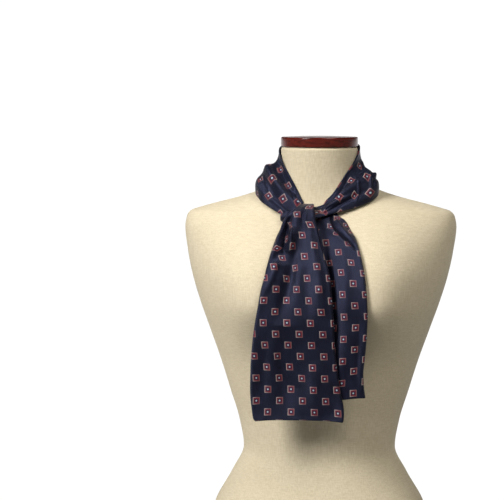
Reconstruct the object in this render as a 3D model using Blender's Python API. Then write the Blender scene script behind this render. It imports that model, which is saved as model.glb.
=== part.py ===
"""A cravat knotted once at the throat, with both ends hanging, worn on a limbless dress form.

Metres, +Z up. The front faces -Y and the viewer's right is +X. The origin is the centre of the form's
flat base. The cravat is one strip of doubled tie silk, built as a solid for each stretch that shows.
"""

import math
from collections import namedtuple

import bpy
import numpy as np

# Cloth
TAIL_WALL = 0.0016
BAND_WALL = 0.0024
SEAT = 0.0007
FOLD_FADE = 0.8

# Dress form
FORM_SIDES = 44
HEIGHT_SAMPLES = 600
RING_STEP_LOW = 0.030
RING_STEP_HIGH = 0.0085
COARSE_BELOW = 0.14
FINE_ABOVE = 0.53
BUST_SPREAD = 0.098
BUST_HEIGHT = 0.458
BUST_DEPTH = 0.036
BUST_HALF_WIDTH = 0.048
BUST_RISE = 0.064
BUST_DROP = 0.043

# Neck cap
CAP_GAP = 0.0003
CAP_THICKNESS = 0.0150
CAP_OVERHANG = 0.0006
CAP_ROUND_LOW = 0.0011
CAP_ROUND_HIGH = 0.0022
CAP_ROUND_STEPS = 4
CAP_CROWN = 0.0012
CAP_CROWN_WIDTH = 0.048
CAP_CROWN_STEPS = 3
CAP_SIDES = 40

# How points are moved clear of the form, and how far from the neck's axis its surface is looked for
CLEAR_ROUNDS = 8
CLEAR_STEP = 0.004
CARRY_ROUNDS = 4
CARRY_WIDTH = 0.012
CARRY_SLOPE = 0.4
LEVEL_STEP = 1e-5
SEARCH_NEAR = 0.01
SEARCH_FAR = 0.30
SEARCH_ROUNDS = 30

# A level section: how far its widest place lies forward or back, its half width there, and how far its
# front and back lie from the middle of the base.
FormSection = namedtuple("FormSection", "height middle half_width front back squareness")
FORM_SECTIONS = (
    FormSection(0.000, 0.004, 0.166, 0.104, 0.112, 2.30),
    FormSection(0.050, 0.006, 0.171, 0.106, 0.120, 2.30),
    FormSection(0.100, 0.005, 0.167, 0.104, 0.120, 2.30),
    FormSection(0.153, 0.003, 0.1536, 0.098, 0.108, 2.25),
    FormSection(0.200, 0.000, 0.1280, 0.089, 0.088, 2.20),
    FormSection(0.238, -0.002, 0.1109, 0.084, 0.074, 2.15),
    FormSection(0.277, -0.004, 0.1170, 0.085, 0.072, 2.15),
    FormSection(0.320, -0.004, 0.1300, 0.090, 0.075, 2.20),
    FormSection(0.365, -0.003, 0.1440, 0.096, 0.081, 2.25),
    FormSection(0.410, -0.001, 0.1600, 0.101, 0.088, 2.35),
    FormSection(0.455, 0.001, 0.1760, 0.104, 0.094, 2.40),
    FormSection(0.490, 0.003, 0.1865, 0.103, 0.097, 2.40),
    FormSection(0.525, 0.005, 0.1938, 0.097, 0.097, 2.35),
    FormSection(0.560, 0.007, 0.1982, 0.081, 0.090, 2.30),
    FormSection(0.575, 0.007, 0.1955, 0.072, 0.083, 2.20),
    FormSection(0.582, 0.006, 0.1900, 0.0685, 0.078, 2.10),
    FormSection(0.5875, 0.005, 0.1741, 0.0665, 0.0735, 1.95),
    FormSection(0.5955, 0.004, 0.1451, 0.0645, 0.0675, 1.80),
    FormSection(0.6030, 0.002, 0.1162, 0.0635, 0.0620, 1.75),
    FormSection(0.6130, -0.003, 0.0872, 0.0632, 0.0555, 1.80),
    FormSection(0.6220, -0.007, 0.0700, 0.0635, 0.0510, 1.90),
    FormSection(0.6330, -0.011, 0.0600, 0.0642, 0.0475, 2.00),
    FormSection(0.6500, -0.013, 0.0562, 0.0660, 0.0440, 2.00),
    FormSection(0.6760, -0.014, 0.0552, 0.0690, 0.0410, 2.00),
)
NECK_TOP = FORM_SECTIONS[-1].height

# The stretch round the neck. turn is in degrees from the front, by the viewer's left to the back and on.
# rim is the height of its upper edge, edge that of its lower one, out how far the lower one stands off.
# swell and lift place the roll above the lower edge, and stand is how far down it stands against the neck.
NECK_AXIS_Y = -0.012
NeckSection = namedtuple("NeckSection", "turn rim edge out swell lift stand")
NECK_SECTIONS = (
    NeckSection(19, 0.598, 0.5745, 0.0060, 0.001, 0.008, 0.40),
    NeckSection(27, 0.611, 0.5750, 0.0070, 0.002, 0.012, 0.42),
    NeckSection(34, 0.623, 0.5780, 0.0070, 0.004, 0.018, 0.45),
    NeckSection(46, 0.639, 0.5865, 0.0060, 0.006, 0.026, 0.48),
    NeckSection(60, 0.654, 0.5965, 0.0055, 0.006, 0.034, 0.50),
    NeckSection(72, 0.665, 0.6050, 0.0060, 0.008, 0.042, 0.52),
    NeckSection(82, 0.671, 0.6100, 0.0040, 0.009, 0.040, 0.60),
    NeckSection(93, 0.675, 0.6155, 0.0030, 0.002, 0.022, 0.72),
    NeckSection(115, 0.678, 0.6120, 0.0050, -0.002, 0.014, 0.72),
    NeckSection(150, 0.680, 0.6040, 0.0050, -0.003, 0.016, 0.62),
    NeckSection(180, 0.681, 0.6010, 0.0050, -0.003, 0.018, 0.58),
    NeckSection(212, 0.681, 0.6040, 0.0050, -0.003, 0.016, 0.62),
    NeckSection(245, 0.680, 0.6130, 0.0050, -0.002, 0.014, 0.72),
    NeckSection(268, 0.677, 0.6165, 0.0025, 0.001, 0.022, 0.72),
    NeckSection(278, 0.672, 0.6120, 0.0030, 0.005, 0.036, 0.60),
    NeckSection(288, 0.665, 0.6058, 0.0040, 0.006, 0.038, 0.52),
    NeckSection(300, 0.655, 0.5985, 0.0050, 0.006, 0.032, 0.48),
    NeckSection(316, 0.641, 0.5905, 0.0060, 0.006, 0.024, 0.45),
    NeckSection(328, 0.626, 0.5860, 0.0070, 0.005, 0.018, 0.42),
    NeckSection(338, 0.612, 0.5830, 0.0085, 0.003, 0.012, 0.40),
    NeckSection(346, 0.6015, 0.5805, 0.0105, 0.001, 0.008, 0.40),
    NeckSection(351, 0.5950, 0.5790, 0.0125, 0.000, 0.006, 0.38),
    NeckSection(360, 0.5920, 0.5765, 0.0140, 0.002, 0.006, 0.34),
    NeckSection(374, 0.5905, 0.5755, 0.0125, 0.002, 0.006, 0.34),
)
NECK_STATIONS = 72
NECK_ACROSS = 12

# Soft folds along a stretch: where each starts and ends along it, its place across from 0 to 1 at both,
# its half width across and its height, above nought where it stands out and below where it sinks in.
Fold = namedtuple("Fold", "start end across_start across_end half_width height")
NECK_FOLDS = (
    Fold(10, 86, 0.40, 0.46, 0.10, -0.0040),
    Fold(12, 70, 0.66, 0.74, 0.09, 0.0030),
    Fold(105, 215, 0.36, 0.58, 0.11, -0.0035),
    Fold(165, 262, 0.72, 0.46, 0.11, 0.0030),
    Fold(274, 352, 0.46, 0.42, 0.10, -0.0040),
    Fold(290, 350, 0.74, 0.68, 0.09, 0.0030),
)

# A hanging end, from the knot down. left and right are its outline from the front, tilt how much further
# forward its right side hangs, under_left and under_right how much is turned under there, and slant its
# rise towards the right.
TailSection = namedtuple("TailSection", "height forward left right tilt under_left under_right slant")
FRONT_TAIL = (
    TailSection(0.5934, -0.0688, -0.0178, -0.0042, 0.000, 0.002, 0.002, 0.0),
    TailSection(0.5951, -0.0715, -0.0182, -0.0040, 0.000, 0.002, 0.002, 0.0),
    TailSection(0.5959, -0.0760, -0.0192, -0.0036, 0.000, 0.002, 0.002, 0.0),
    TailSection(0.5955, -0.0815, -0.0212, -0.0031, 0.000, 0.002, 0.002, 0.0),
    TailSection(0.5937, -0.0880, -0.0255, -0.0025, 0.000, 0.003, 0.003, 0.0),
    TailSection(0.5900, -0.0945, -0.0315, -0.0018, 0.000, 0.006, 0.005, 0.0),
    TailSection(0.5845, -0.0995, -0.0380, -0.0008, 0.000, 0.010, 0.009, 0.0),
    TailSection(0.5780, -0.1030, -0.0428, 0.0003, 0.000, 0.014, 0.012, 0.0),
    TailSection(0.5665, -0.1060, -0.0482, 0.0034, 0.000, 0.019, 0.017, 0.0),
    TailSection(0.5540, -0.1110, -0.0542, 0.0061, 0.000, 0.023, 0.020, 0.0),
    TailSection(0.5390, -0.1170, -0.0588, 0.0104, 0.000, 0.026, 0.022, 0.0),
    TailSection(0.5240, -0.1230, -0.0626, 0.0151, 0.000, 0.026, 0.022, 0.0),
    TailSection(0.5100, -0.1280, -0.0656, 0.0197, 0.000, 0.024, 0.021, 0.0),
    TailSection(0.4936, -0.1325, -0.0691, 0.0236, 0.000, 0.021, 0.019, 0.0),
    TailSection(0.4785, -0.1355, -0.0729, 0.0253, 0.000, 0.019, 0.017, 0.0),
    TailSection(0.4550, -0.1375, -0.0770, 0.0273, 0.000, 0.016, 0.015, 0.0),
    TailSection(0.4310, -0.1380, -0.0813, 0.0288, 0.000, 0.013, 0.012, 0.0),
    TailSection(0.4000, -0.1380, -0.0851, 0.0300, 0.000, 0.010, 0.010, 0.0),
    TailSection(0.3690, -0.1380, -0.0874, 0.0333, 0.000, 0.007, 0.008, 0.0),
    TailSection(0.3376, -0.1380, -0.0880, 0.0379, 0.000, 0.004, 0.006, 0.0),
    TailSection(0.3080, -0.1380, -0.0851, 0.0436, 0.000, 0.003, 0.004, 0.0),
    TailSection(0.2990, -0.1380, -0.0834, 0.0433, 0.000, 0.003, 0.003, 0.0),
    TailSection(0.2952, -0.1380, -0.0800, 0.0415, 0.000, 0.003, 0.003, 0.0),
)
FRONT_FOLDS = (
    Fold(0.582, 0.528, 0.14, 0.27, 0.11, -0.0080),
    Fold(0.596, 0.515, 0.38, 0.45, 0.13, 0.0035),
    Fold(0.550, 0.430, 0.31, 0.40, 0.14, -0.0050),
    Fold(0.585, 0.400, 0.82, 0.86, 0.12, 0.0030),
    Fold(0.460, 0.295, 0.20, 0.16, 0.14, 0.0025),
    Fold(0.430, 0.295, 0.48, 0.44, 0.13, -0.0025),
    Fold(0.400, 0.295, 0.74, 0.76, 0.14, 0.0025),
)
REAR_TAIL = (
    TailSection(0.5860, -0.0712, 0.0125, 0.0280, 0.000, 0.002, 0.002, 0.0),
    TailSection(0.5800, -0.0745, 0.0115, 0.0310, 0.000, 0.002, 0.002, 0.0),
    TailSection(0.5730, -0.0795, -0.0010, 0.0415, 0.000, 0.002, 0.003, 0.0),
    TailSection(0.5610, -0.0870, -0.0120, 0.0493, 0.000, 0.002, 0.005, 0.0),
    TailSection(0.5500, -0.0930, -0.0180, 0.0566, 0.002, 0.002, 0.007, 0.0),
    TailSection(0.5363, -0.0995, -0.0220, 0.0626, 0.005, 0.002, 0.008, 0.0),
    TailSection(0.5200, -0.1060, -0.0250, 0.0672, 0.009, 0.002, 0.009, 0.0),
    TailSection(0.5063, -0.1105, -0.0270, 0.0703, 0.013, 0.002, 0.009, 0.01),
    TailSection(0.4857, -0.1150, -0.0290, 0.0734, 0.017, 0.002, 0.009, 0.02),
    TailSection(0.4652, -0.1175, -0.0310, 0.0752, 0.019, 0.002, 0.008, 0.03),
    TailSection(0.4440, -0.1190, -0.0320, 0.0760, 0.018, 0.002, 0.008, 0.05),
    TailSection(0.4230, -0.1195, -0.0350, 0.0754, 0.017, 0.002, 0.008, 0.07),
    TailSection(0.4020, -0.1200, -0.0380, 0.0741, 0.015, 0.002, 0.008, 0.09),
    TailSection(0.3810, -0.1200, -0.0410, 0.0721, 0.013, 0.002, 0.008, 0.12),
    TailSection(0.3600, -0.1200, -0.0430, 0.0701, 0.011, 0.002, 0.008, 0.14),
    TailSection(0.3390, -0.1200, -0.0450, 0.0716, 0.010, 0.002, 0.006, 0.16),
    TailSection(0.3290, -0.1200, -0.0460, 0.0731, 0.009, 0.002, 0.004, 0.17),
)
REAR_FOLDS = (
    Fold(0.582, 0.535, 0.50, 0.86, 0.12, -0.0040),
    Fold(0.570, 0.400, 0.38, 0.52, 0.13, -0.0050),
    Fold(0.560, 0.400, 0.74, 0.76, 0.12, 0.0025),
    Fold(0.450, 0.330, 0.58, 0.60, 0.12, -0.0030),
    Fold(0.440, 0.330, 0.80, 0.78, 0.12, 0.0025),
)
ROLL_RADIUS = 0.0036
FRONT_STATIONS = 41
FRONT_ACROSS = 15
REAR_STATIONS = 31
REAR_ACROSS = 12
ROLL_ACROSS = 4

# The crossing band at the throat, from the viewer's left to right. It is an arch over what it ties.
BandSection = namedtuple("BandSection", "across forward low high")
KNOT_SECTIONS = (
    BandSection(-0.0505, -0.0836, 0.5735, 0.5805),
    BandSection(-0.0460, -0.0868, 0.5700, 0.5840),
    BandSection(-0.0360, -0.0900, 0.5680, 0.5865),
    BandSection(-0.0220, -0.0908, 0.5685, 0.5875),
    BandSection(-0.0150, -0.0905, 0.5695, 0.5870),
)
KNOT_STATIONS = 16
KNOT_ACROSS = 8
KNOT_CROWN = 0.0050


def columns(rows):
    """A table's first column, the others, and the slopes of a smooth curve that never overshoots a row."""
    table = np.array(rows, dtype=float)
    at, values = table[:, 0], table[:, 1:]
    steps = np.diff(at)[:, None]
    secants = np.diff(values, axis=0) / steps
    slopes = np.zeros_like(values)
    slopes[0], slopes[-1] = secants[0], secants[-1]
    product = secants[:-1] * secants[1:]
    total = secants[:-1] + secants[1:]
    slopes[1:-1] = np.where(product > 0, 2 * product / np.where(total == 0, 1, total), 0)
    return at, values, slopes


def read(table, places):
    """Every column of a table at these places along its first column."""
    at, values, slopes = table
    places = np.clip(places, at[0], at[-1])
    row = np.clip(np.searchsorted(at, places, side="right") - 1, 0, len(at) - 2)
    step = (at[row + 1] - at[row])[..., None]
    t = (places - at[row])[..., None] / step
    return (
        values[row] * (1 + 2 * t) * (1 - t) ** 2
        + slopes[row] * step * t * (1 - t) ** 2
        + values[row + 1] * t**2 * (3 - 2 * t)
        + slopes[row + 1] * step * t**2 * (t - 1)
    )


FORM_TABLE = columns(FORM_SECTIONS)


def bust(across, height, half_width):
    """How far the bust stands forward of the plain torso."""
    side = (np.abs(across) - BUST_SPREAD) / BUST_HALF_WIDTH
    above = height - BUST_HEIGHT
    rise = above / np.where(above > 0, BUST_RISE, BUST_DROP)
    edge = np.clip(1 - (np.abs(across) / half_width) ** 4, 0, 1)
    return BUST_DEPTH * np.exp(-(side**2 + rise**2) / 2) * edge


def form_level(points):
    """Below nought inside the form, nought on its surface and above nought outside."""
    middle, half_width, front, back, squareness = np.moveaxis(read(FORM_TABLE, points[..., 2]), -1, 0)
    behind = points[..., 1] - middle
    behind = behind + bust(points[..., 0], points[..., 2], half_width) * (behind < 0)
    depth = np.where(behind < 0, front + middle, back - middle)
    side = np.abs(points[..., 0]) / half_width
    return (side**squareness + (np.abs(behind) / depth) ** squareness) ** (1 / squareness) - 1


def form_gap(points):
    """The distance from each point to the form, and the way out."""
    level = form_level(points)
    steps = [form_level(points + LEVEL_STEP * axis) - level for axis in np.eye(3)]
    gradient = np.stack(steps, axis=-1) / LEVEL_STEP
    length = np.linalg.norm(gradient, axis=-1)
    return level / length, gradient / length[..., None]


def keep_clear(points, distance):
    """Moves points that lie nearer to the form than this distance straight out to it."""
    for _ in range(CLEAR_ROUNDS):
        gap, way_out = form_gap(points)
        points = points + way_out * np.clip(distance - gap, 0, CLEAR_STEP)[..., None]
    return points


def carry_forward(line, distance):
    """Moves a section of a hanging end forward where any layer of it lies nearer to the form than this."""
    for _ in range(CARRY_ROUNDS):
        gap, way_out = form_gap(line)
        short = np.clip(distance - gap, 0, None) / np.clip(-way_out[:, 1], CARRY_SLOPE, 1)
        near = np.exp(-(((line[:, None, 0] - line[None, :, 0]) / CARRY_WIDTH) ** 2))
        line = line - np.outer(np.max(near * short, axis=1), (0, 1, 0))
    return line


def form_radius(turn, height):
    """How far the form reaches from the neck's axis in a direction, at a height."""
    near, far = np.full(turn.shape, SEARCH_NEAR), np.full(turn.shape, SEARCH_FAR)
    for _ in range(SEARCH_ROUNDS):
        middle = (near + far) / 2
        inside = form_level(round_neck(turn, middle, height)) < 0
        near, far = np.where(inside, middle, near), np.where(inside, far, middle)
    return near


def round_neck(turn, radius, height):
    """A point at a direction and distance from the neck's axis."""
    return np.stack([-radius * np.sin(turn), NECK_AXIS_Y - radius * np.cos(turn), height], axis=-1)


def fold_height(folds, along, across):
    """The height of all soft folds together at places along and across a stretch."""
    total = np.zeros(np.broadcast(along, across).shape)
    for fold in folds:
        t = np.clip((along - fold.start) / (fold.end - fold.start), 0, 1)
        middle = fold.across_start + (fold.across_end - fold.across_start) * t
        fade = np.sin(math.pi * t) ** FOLD_FADE
        total = total + fold.height * fade * np.exp(-(((across - middle) / fold.half_width) ** 2))
    return total


def surface_normals(grid):
    """The unit normal at each point of a grid of points."""
    along = np.gradient(grid, axis=0)
    across = np.gradient(grid, axis=1)
    normal = np.cross(along, across)
    return normal / np.linalg.norm(normal, axis=-1)[..., None]


def neck_surface():
    """The middle of the wall of the stretch round the neck."""
    table = columns(NECK_SECTIONS)
    turn = np.linspace(NECK_SECTIONS[0].turn, NECK_SECTIONS[-1].turn, NECK_STATIONS)[:, None]
    v = np.linspace(0, 1, NECK_ACROSS)[None, :]
    rim, edge, out, swell, lift, stand = np.moveaxis(read(table, turn), -1, 0)
    angle = np.radians(turn)
    rim_radius = form_radius(angle, np.minimum(rim, NECK_TOP)) + CAP_OVERHANG + SEAT + BAND_WALL / 2
    edge_radius = form_radius(angle, edge) + out
    bend = 3 * v * (1 - v)
    drop = stand * (rim - edge)
    radius = (
        rim_radius * ((1 - v) ** 3 + bend * (1 - v))
        + (edge_radius + swell) * bend * v
        + edge_radius * v**3
    )
    height = rim * (1 - v) ** 3 + (rim - drop) * bend * (1 - v) + (edge + lift) * bend * v + edge * v**3
    grid = round_neck(angle + 0 * v, radius, height)
    grid = grid + surface_normals(grid) * -fold_height(NECK_FOLDS, turn, v)[..., None]
    return keep_clear(grid, SEAT + BAND_WALL / 2)


def tail_surface(rows, folds, station_count, across_count):
    """The middle of the wall of a hanging end, a row of points for each section from the knot down."""
    path = np.array([(row.height, row.forward) for row in rows])
    walked = np.concatenate([[0], np.cumsum(np.linalg.norm(np.diff(path, axis=0), axis=1))])
    table = columns([(at, *row) for at, row in zip(walked, rows)])
    along = np.interp(np.linspace(0, len(rows) - 1, station_count), range(len(rows)), walked)
    section = read(table, along)
    height, forward, left, right, tilt, under_left, under_right, slant = np.moveaxis(section, -1, 0)
    heading = np.gradient(np.stack([forward, height], axis=-1), along, axis=0)
    heading /= np.linalg.norm(heading, axis=-1)[:, None]
    roll = np.linspace(1, 0, ROLL_ACROSS, endpoint=False)
    lines = []
    for i in range(station_count):
        left_turn = min(under_left[i] / ROLL_RADIUS, math.pi)
        right_turn = min(under_right[i] / ROLL_RADIUS, math.pi)
        start = left[i] + ROLL_RADIUS * math.sin(min(left_turn, math.pi / 2))
        end = right[i] - ROLL_RADIUS * math.sin(min(right_turn, math.pi / 2))
        v = np.linspace(0, 1, across_count)
        x = start + (end - start) * v
        depth = -fold_height(folds, height[i], v)
        left_x, left_depth = turned_under(roll, under_left[i], left_turn)
        right_x, right_depth = turned_under(roll[::-1], under_right[i], right_turn)
        left_x, right_x = start - left_x, end + right_x
        left_depth = left_depth + np.interp(left_x, x, depth)
        right_depth = right_depth + np.interp(right_x, x, depth)
        x = np.concatenate([left_x, x, right_x])
        depth = np.concatenate([left_depth, depth, right_depth])
        lean = tilt[i] * (x - left[i]) / (right[i] - left[i])
        y = forward[i] - lean - heading[i][1] * depth
        z = height[i] + slant[i] * (x - right[i]) + heading[i][0] * depth
        lines.append(carry_forward(np.stack([x, y, z], axis=-1), SEAT + TAIL_WALL / 2))
    return np.array(lines)


def turned_under(parts, length, turn):
    """Points of an edge that rolls round and runs back in behind, from its start outward."""
    run = np.asarray(parts) * length
    angle = np.minimum(run / ROLL_RADIUS, turn)
    flat = run - angle * ROLL_RADIUS
    return ROLL_RADIUS * np.sin(angle) - flat, ROLL_RADIUS * (1 - np.cos(angle))


def knot_surface():
    """The middle of the wall of the crossing band."""
    table = columns(KNOT_SECTIONS)
    x = np.linspace(KNOT_SECTIONS[0].across, KNOT_SECTIONS[-1].across, KNOT_STATIONS)[:, None]
    v = np.linspace(0, 1, KNOT_ACROSS)[None, :]
    forward, low, high = np.moveaxis(read(table, x), -1, 0)
    z = high + (low - high) * v
    y = forward + KNOT_CROWN * (2 * v - 1) ** 2
    grid = np.stack([x + 0 * z, y, z], axis=-1)
    return keep_clear(grid, SEAT + BAND_WALL / 2)


def add_object(name, points, faces, material, sharp_angle=50):
    """A named object from points and faces, shaded smooth but for its sharp edges."""
    mesh = bpy.data.meshes.new(name)
    mesh.from_pydata([tuple(point) for point in points], [], faces)
    mesh.materials.append(material)
    mesh.shade_smooth()
    mesh.set_sharp_from_angle(angle=math.radians(sharp_angle))
    body = bpy.data.objects.new(name, mesh)
    bpy.context.scene.collection.objects.link(body)
    return body


def add_wall(name, middle, thickness, material):
    """A closed wall of cloth round a grid of middle points."""
    count, width = middle.shape[:2]
    offset = surface_normals(middle) * thickness / 2
    points = np.concatenate([(middle + offset).reshape(-1, 3), (middle - offset).reshape(-1, 3)])
    back = count * width
    faces = []
    for i in range(count - 1):
        for j in range(width - 1):
            a = i * width + j
            quad = (a, a + width, a + width + 1, a + 1)
            faces.append(quad)
            faces.append(tuple(back + k for k in reversed(quad)))
    loop = list(range(width))
    loop += [i * width + width - 1 for i in range(1, count)]
    loop += [(count - 1) * width + j for j in range(width - 2, -1, -1)]
    loop += [i * width for i in range(count - 2, 0, -1)]
    for a, b in zip(loop, loop[1:] + loop[:1]):
        faces.append((a, b, back + b, back + a))
    return add_object(name, points, faces, material)


def ring(height, middle, half_width, front, back, squareness, sides):
    """One level section of the form as points, starting at +X and going round by the back."""
    points = []
    for k in range(sides):
        angle = 2 * math.pi * k / sides
        cos, sin = math.cos(angle), math.sin(angle)
        x = half_width * math.copysign(abs(cos) ** (2 / squareness), cos)
        depth = back - middle if sin > 0 else front + middle
        y = middle + depth * math.copysign(abs(sin) ** (2 / squareness), sin)
        if sin < 0:
            y -= float(bust(x, height, half_width))
        points.append((x, y, height))
    return points


def loft(rings):
    """Faces of a closed solid through rings of points, with flat ends."""
    sides = len(rings[0])
    faces = [tuple(reversed(range(sides)))]
    for level in range(len(rings) - 1):
        for k in range(sides):
            a = level * sides + k
            b = level * sides + (k + 1) % sides
            faces.append((a, b, b + sides, a + sides))
    top = (len(rings) - 1) * sides
    faces.append(tuple(range(top, top + sides)))
    return faces


def form_heights():
    """Heights for the form's rings, wide apart at the hips and close together at the shoulders and neck."""
    fine = np.linspace(0, NECK_TOP, HEIGHT_SAMPLES)
    outline = np.stack([fine, read(FORM_TABLE, fine)[:, 1]], axis=-1)
    step = np.interp(fine, [COARSE_BELOW, FINE_ABOVE], [RING_STEP_LOW, RING_STEP_HIGH])
    walked = np.cumsum(np.linalg.norm(np.diff(outline, axis=0), axis=1) / step[1:])
    walked = np.concatenate([[0], walked])
    return np.interp(np.linspace(0, walked[-1], round(walked[-1])), walked, fine)


def build_form(material):
    """The cloth-covered torso of the dress form, with its neck."""
    rings = [ring(z, *read(FORM_TABLE, z), FORM_SIDES) for z in form_heights()]
    return add_object("form_body", sum(rings, []), loft(rings), material)


def build_cap(material):
    """The turned wooden cap on the neck, with rounded edges and a low crown."""
    top = FORM_SECTIONS[-1]
    low = NECK_TOP + CAP_GAP
    high = low + CAP_THICKNESS - CAP_CROWN
    levels = []
    for step in range(CAP_ROUND_STEPS + 1):
        angle = math.pi / 2 * step / CAP_ROUND_STEPS
        levels.append((low + CAP_ROUND_LOW * (1 - math.cos(angle)), CAP_ROUND_LOW * (1 - math.sin(angle))))
    for step in range(CAP_ROUND_STEPS + 1):
        angle = math.pi / 2 * step / CAP_ROUND_STEPS
        levels.append((high - CAP_ROUND_HIGH * (1 - math.sin(angle)), CAP_ROUND_HIGH * (1 - math.cos(angle))))
    for step in range(1, CAP_CROWN_STEPS + 1):
        inward = step / CAP_CROWN_STEPS
        rise = CAP_CROWN * (1 - (1 - inward) ** 2)
        levels.append((high + rise, CAP_ROUND_HIGH + CAP_CROWN_WIDTH * inward))
    rings = []
    for z, inset in levels:
        grow = CAP_OVERHANG - inset
        rings.append(ring(z, top.middle, top.half_width + grow, top.front + grow, top.back + grow,
                          top.squareness, CAP_SIDES))
    return add_object("neck_cap", sum(rings, []), loft(rings), material)


def principled(name, colour, roughness, metallic=0.0):
    """A plain material with a colour, a roughness and a metallic value."""
    material = bpy.data.materials.new(name)
    material.use_nodes = True
    shader = material.node_tree.nodes["Principled BSDF"]
    shader.inputs["Base Color"].default_value = (*colour, 1)
    shader.inputs["Roughness"].default_value = roughness
    shader.inputs["Metallic"].default_value = metallic
    return material


def main():
    for old in list(bpy.data.objects):
        bpy.data.objects.remove(old)
    build_form(principled("form cover", (0.78, 0.68, 0.48), 0.9))
    build_cap(principled("cap wood", (0.12, 0.014, 0.009), 0.25))
    add_wall("neck_stretch", neck_surface(), BAND_WALL, principled("neck silk", (0.012, 0.014, 0.045), 0.42))
    add_wall("knot_band", knot_surface(), BAND_WALL, principled("knot silk", (0.013, 0.015, 0.048), 0.42))
    front = tail_surface(FRONT_TAIL, FRONT_FOLDS, FRONT_STATIONS, FRONT_ACROSS)
    add_wall("front_tail", front, TAIL_WALL, principled("front tail silk", (0.014, 0.016, 0.05), 0.42))
    rear = tail_surface(REAR_TAIL, REAR_FOLDS, REAR_STATIONS, REAR_ACROSS)
    add_wall("rear_tail", rear, TAIL_WALL, principled("rear tail silk", (0.016, 0.018, 0.055), 0.42))


main()
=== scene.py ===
"""Looks of a silk cravat, knotted once at the throat, on a limbless dress form.

Metres, +Z up, the front towards -Y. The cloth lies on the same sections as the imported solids, with finer
folds, and its woven pattern follows the threads.
"""

import math
from collections import namedtuple

import bmesh
import bpy
import numpy as np
from mathutils import Matrix, Vector


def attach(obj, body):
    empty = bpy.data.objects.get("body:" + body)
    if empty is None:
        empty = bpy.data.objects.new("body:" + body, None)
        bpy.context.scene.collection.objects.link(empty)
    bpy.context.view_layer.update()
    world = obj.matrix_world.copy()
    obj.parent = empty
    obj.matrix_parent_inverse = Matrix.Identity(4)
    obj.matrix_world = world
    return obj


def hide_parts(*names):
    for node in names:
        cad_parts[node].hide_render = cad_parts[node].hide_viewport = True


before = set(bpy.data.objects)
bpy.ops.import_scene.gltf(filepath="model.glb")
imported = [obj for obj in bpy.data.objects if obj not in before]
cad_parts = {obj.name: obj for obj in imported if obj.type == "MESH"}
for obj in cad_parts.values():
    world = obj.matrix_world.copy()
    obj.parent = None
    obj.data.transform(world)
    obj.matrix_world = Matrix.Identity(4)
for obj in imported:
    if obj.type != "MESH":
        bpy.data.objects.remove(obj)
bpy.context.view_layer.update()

# Camera, aimed at the throat's left from a little to the right and above
CAMERA_TURN = math.radians(6.0)
CAMERA_RISE = math.radians(4.5)
CAMERA_DISTANCE = 3.0
CAMERA_AIM = (-0.102, 0.5247)
PHOTO_WIDTH = 500
METRES_PER_PIXEL = 0.00146
SENSOR_WIDTH = 36.0

# Cloth: its doubled thickness on the ends and elsewhere, and how far it lies off the form
CLOTH_THICKNESS = 0.0012
BAND_THICKNESS = 0.0016
SEAT = 0.0008
SOLID_WALL = 0.0024
# A rounded edge: its radius, the places of its points in radii, its least share of the thickness, and the
# slight swell of the turned cloth just inside it
EDGE_ROUND = 0.0008
EDGE_THINNEST = 0.1
EDGE_STEPS = (0, 0.08, 0.30, 0.65, 1.0)
EDGE_SWELL = 0.45
EDGE_SWELL_PLACE = 0.0022
EDGE_SWELL_WIDTH = 0.0014
# How fast a fold fades at its ends, and the radius of the roll along an end's sides
FOLD_FADE = 0.8
ROLL_RADIUS = 0.0036

# The woven pattern: its repeat across and along the threads, how far its threads follow the collar's rim,
# and the half sizes inside one figure
REPEAT_ACROSS = 0.0332
REPEAT_ALONG = 0.0315
RIM_HOLD = 0.7
OUTLINE_HALF = 0.0048
FRAME_HALF = 0.0040
RING_HALF = 0.0027
DOT_RADIUS = 0.00105
THREAD_SOFT = 0.00025
OUTLINE_TURN = (0.0020, -0.0040)
RIB_PITCH = 0.00062
WEFT_PITCH = 0.00045
SLUB_SCALE = 900
CLOUD_SCALE = 45
SILK_ROUGH = (0.30, 0.38)
FIGURE_ROUGHER = 0.12
SILK_SHINE = (0.50, 0.56, 1.0, 1.0)
SILK_SHEEN = (0.62, 0.66, 1.0, 1.0)

# Colours of the silk and its figures, of the form's cover, of the wood and of the floor
GROUND = (0.0058, 0.0068, 0.0160)
GROUND_DEEP = (0.0027, 0.0032, 0.0072)
GROUND_THREAD = (0.0145, 0.0160, 0.0350)
FIGURE_OUTLINE = (0.42, 0.36, 0.33)
FIGURE_OUTLINE_SIDE = (0.22, 0.125, 0.110)
FIGURE_FRAME = (0.170, 0.015, 0.020)
FIGURE_FRAME_DEEP = (0.075, 0.009, 0.014)
FIGURE_RING = (0.030, 0.014, 0.026)
FIGURE_DOT = (0.42, 0.56, 0.66)
COVER_DARK = (0.60, 0.525, 0.366)
COVER_LIGHT = (0.71, 0.637, 0.478)
COVER_PATCH = (0.60, 0.51, 0.35)
WOOD_DARK = (0.055, 0.0065, 0.004)
WOOD_LIGHT = (0.120, 0.013, 0.008)
WOOD_PORE = (0.020, 0.004, 0.003)
FLOOR_DARK = (0.36, 0.36, 0.36)
FLOOR_LIGHT = (0.39, 0.39, 0.39)

# Dress form. Its flat ends are closed by rings drawn in from a little inside its outline to a small one.
FORM_SIDES = 192
FORM_RINGS = 300
FORM_OUTLINE_STEPS = 900
FORM_EDGE = 0.0022
FORM_END_RINGS = 12
FORM_END_HOLE = 0.05
FORM_BASE_SHARE = 0.985
FORM_TOP_SHARE = 0.96
BUST_SPREAD = 0.098
BUST_HEIGHT = 0.458
BUST_DEPTH = 0.036
BUST_HALF_WIDTH = 0.048
BUST_RISE = 0.064
BUST_DROP = 0.043

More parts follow.
